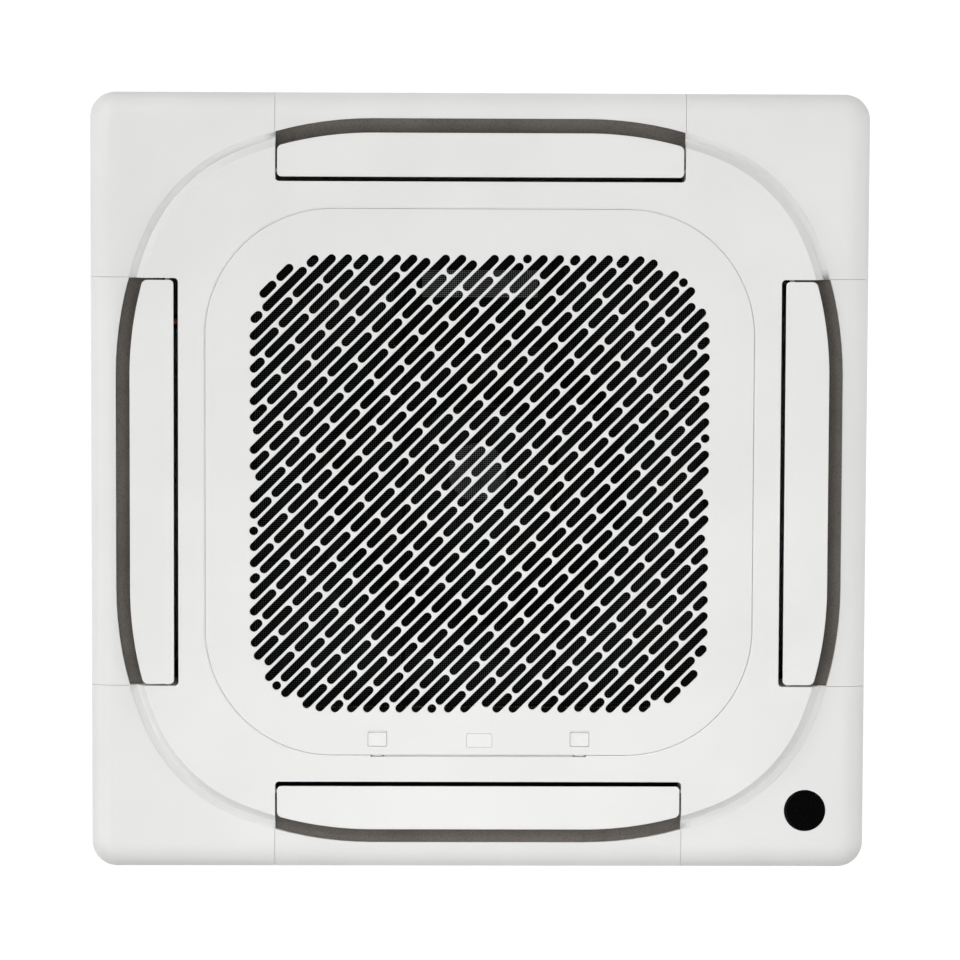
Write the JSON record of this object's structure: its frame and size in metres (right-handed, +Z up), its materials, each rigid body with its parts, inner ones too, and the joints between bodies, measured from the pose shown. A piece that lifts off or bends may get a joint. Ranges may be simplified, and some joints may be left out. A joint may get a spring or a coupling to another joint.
{
  "type": "ceiling cassette air conditioner",
  "caption": "Four-way ceiling cassette air conditioner: square white panel with a hinged intake grille and swinging louvers, under a chamfered steel unit with fan and coil.",
  "frame": {"origin": "centre of the four hanging-rod slots, on the top face of their lugs", "axes": "+Z up, away from the room; -Y towards the hinged edge of the intake grille; +X to the right seen from below with the hinge at the top"},
  "size_m": [0.95, 0.95, 0.2825],
  "materials": {
    "panel_abs": "satin moulded ABS",
    "grille_abs": "satin moulded ABS",
    "latch_abs": "satin moulded ABS",
    "louver_abs": "satin moulded ABS",
    "lens": "polished infrared-pass acrylic",
    "dark_foam": "closed-cell polyethylene foam",
    "filter_frame": "moulded polypropylene",
    "filter_net": "woven polypropylene mesh",
    "acetal": "moulded acetal",
    "drive_case": "moulded case",
    "steel": "turned steel",
    "galvanised": "hot-dip galvanised sheet",
    "lining_foam": "closed-cell foam",
    "pan_foam": "expanded polystyrene with a moulded skin",
    "fins": "pressed fins",
    "copper": "drawn copper tube",
    "brass": "turned brass",
    "fan_plastic": "glass-filled moulding",
    "hub_aluminium": "die-cast",
    "motor_paint": "black enamel",
    "rubber": "moulded rubber",
    "pump_plastic": "moulded ABS",
    "pvc": "moulded PVC",
    "circuit_board": "glass-epoxy laminate"
  },
  "bodies": {
    "unit": {"bell_mouth": "fan_plastic", "cabinet_shell": "galvanised", "cable_grommet": "rubber", "coil": "fins", "coil_end_plates": "galvanised", "coil_headers": "copper", "control_board": "circuit_board", "control_box": "galvanised", "control_box_lid": "galvanised", "corner_cover_left_hinge": "panel_abs", "corner_cover_left_latch": "panel_abs", "corner_cover_right_hinge": "panel_abs", "corner_cover_right_latch": "panel_abs", "drain_pan": "pan_foam", "drain_pump": "pump_plastic", "drain_socket": "pvc", "fan_motor": "motor_paint", "float_switch_stem": "pump_plastic", "foam_lining": "lining_foam", "gas_pipe": "copper", "gas_union": "brass", "grille_hinge_shoes": "acetal", "hanging_bracket_left_hinge": "galvanised", "hanging_bracket_left_latch": "galvanised", "hanging_bracket_right_hinge": "galvanised", "hanging_bracket_right_latch": "galvanised", "liquid_pipe": "copper", "liquid_union": "brass", "louver_bushes": "acetal", "louver_motors": "drive_case", "motor_mounts": "rubber", "outlet_deflector_hinge_side": "dark_foam", "outlet_deflector_latch_side": "dark_foam", "outlet_deflector_left": "dark_foam", "outlet_deflector_right": "dark_foam", "panel_frame": "panel_abs", "panel_gasket": "lining_foam", "partition_plate": "galvanised", "receiver_board": "circuit_board", "receiver_window": "lens", "top_plate": "galvanised"},
    "grille": {"intake_grille": "grille_abs", "filter_frame": "filter_frame", "filter_net": "filter_net"},
    "latch_left": {"grille_latch_left": "latch_abs"},
    "latch_right": {"grille_latch_right": "latch_abs"},
    "fan": {"turbo_fan": "fan_plastic", "fan_hub_insert": "hub_aluminium", "fan_nut": "steel", "fan_shaft": "steel"},
    "float": {"float_switch_float": "pump_plastic"},
    "louver_latch_side_flap": {"louver_latch_side": "louver_abs"},
    "louver_right_flap": {"louver_right": "louver_abs"},
    "louver_hinge_side_flap": {"louver_hinge_side": "louver_abs"},
    "louver_left_flap": {"louver_left": "louver_abs"}
  },
  "joints": [
    {"name": "grille_hinge", "type": "hinge", "parent": "unit", "child": "grille", "pos_m": [0, -0.3225, -0.135], "axis": [-1, 0, 0], "range_deg": [0, 90]},
    {"name": "louver_latch_side_pivot", "type": "hinge", "parent": "unit", "child": "louver_latch_side_flap", "pos_m": [0, 0.381, -0.121], "axis": [-1, 0, 0], "range_deg": [0, 60]},
    {"name": "louver_right_pivot", "type": "hinge", "parent": "unit", "child": "louver_right_flap", "pos_m": [0.381, 0, -0.121], "axis": [0, 1, 0], "range_deg": [0, 60]},
    {"name": "louver_hinge_side_pivot", "type": "hinge", "parent": "unit", "child": "louver_hinge_side_flap", "pos_m": [0, -0.381, -0.121], "axis": [1, 0, 0], "range_deg": [0, 60]},
    {"name": "louver_left_pivot", "type": "hinge", "parent": "unit", "child": "louver_left_flap", "pos_m": [-0.381, 0, -0.121], "axis": [0, -1, 0], "range_deg": [0, 60]},
    {"name": "latch_left_slide", "type": "slide", "parent": "grille", "child": "latch_left", "axis": [0, -1, 0], "range_m": [0, 0.002]},
    {"name": "latch_right_slide", "type": "slide", "parent": "grille", "child": "latch_right", "axis": [0, -1, 0], "range_m": [0, 0.002]},
    {"name": "fan_spin", "type": "hinge", "parent": "unit", "child": "fan", "pos_m": [0, 0, 0.06], "axis": [0, 0, 1], "continuous": true},
    {"name": "float_slide", "type": "slide", "parent": "unit", "child": "float", "axis": [0, 0, 1], "range_m": [0, 0.008]}
  ]
}
